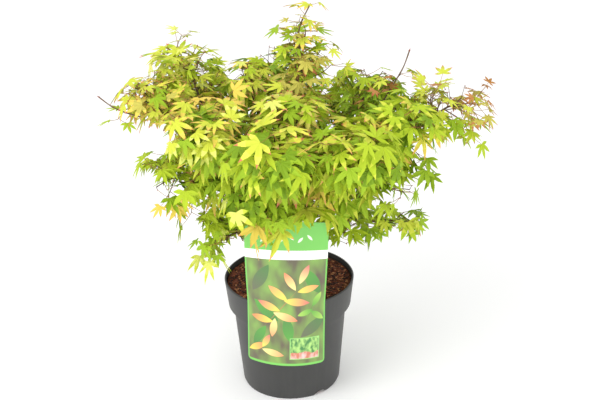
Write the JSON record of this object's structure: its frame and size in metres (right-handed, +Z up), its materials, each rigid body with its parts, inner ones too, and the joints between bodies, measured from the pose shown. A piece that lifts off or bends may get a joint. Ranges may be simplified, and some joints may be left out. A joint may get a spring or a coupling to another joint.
{
  "type": "potted japanese maple",
  "caption": "Young Japanese maple with a spreading, airy crown of deeply lobed leaves, growing in a stepped round nursery pot that carries a hooked-on card label.",
  "frame": {"origin": "centre of the pot's flat underside", "axes": "+Z up along the pot's axis; -Y towards the side that carries the label, the viewer's side in the picture; +X to the viewer's right"},
  "size_m": [0.5506, 0.4518, 0.581],
  "materials": {
    "pot": "satin, faint vertical flow lines",
    "compost": "loose bark and fibre, matt",
    "label": "smooth printed card",
    "bark": "smooth young bark",
    "foliage_gold": "leaf, soft sheen",
    "foliage_lime": "leaf, soft sheen",
    "foliage_green": "leaf, soft sheen"
  },
  "bodies": {
    "root": {"pot": "pot", "compost": "compost", "label": "label", "trunk": "bark", "bough_top": "bark", "bough_left_wing": "bark", "bough_front": "bark", "bough_right": "bark", "bough_back": "bark", "bough_upper_left": "bark", "bough_upper_back": "bark", "bough_upper_right": "bark", "bough_left_front": "bark", "bough_front_right": "bark", "bough_right_wing": "bark", "bough_back_right": "bark", "bough_back_left": "bark", "bough_left_low": "bark", "bough_front_low": "bark", "bough_right_low": "bark", "bough_back_low": "bark", "bough_low_left": "bark", "bough_low_right": "bark", "bough_upper_front": "bark", "bough_low_front": "bark", "foliage_top": "foliage_gold", "foliage_left_wing": "foliage_gold", "foliage_front": "foliage_gold", "foliage_right": "foliage_lime", "foliage_back": "foliage_green", "foliage_upper_left": "foliage_gold", "foliage_upper_back": "foliage_gold", "foliage_upper_right": "foliage_lime", "foliage_left_front": "foliage_lime", "foliage_front_right": "foliage_lime", "foliage_right_wing": "foliage_lime", "foliage_back_right": "foliage_green", "foliage_back_left": "foliage_lime", "foliage_left_low": "foliage_lime", "foliage_front_low": "foliage_lime", "foliage_right_low": "foliage_green", "foliage_back_low": "foliage_green", "foliage_low_left": "foliage_lime", "foliage_low_right": "foliage_green", "foliage_upper_front": "foliage_gold", "foliage_low_front": "foliage_green"}
  },
  "joints": []
}
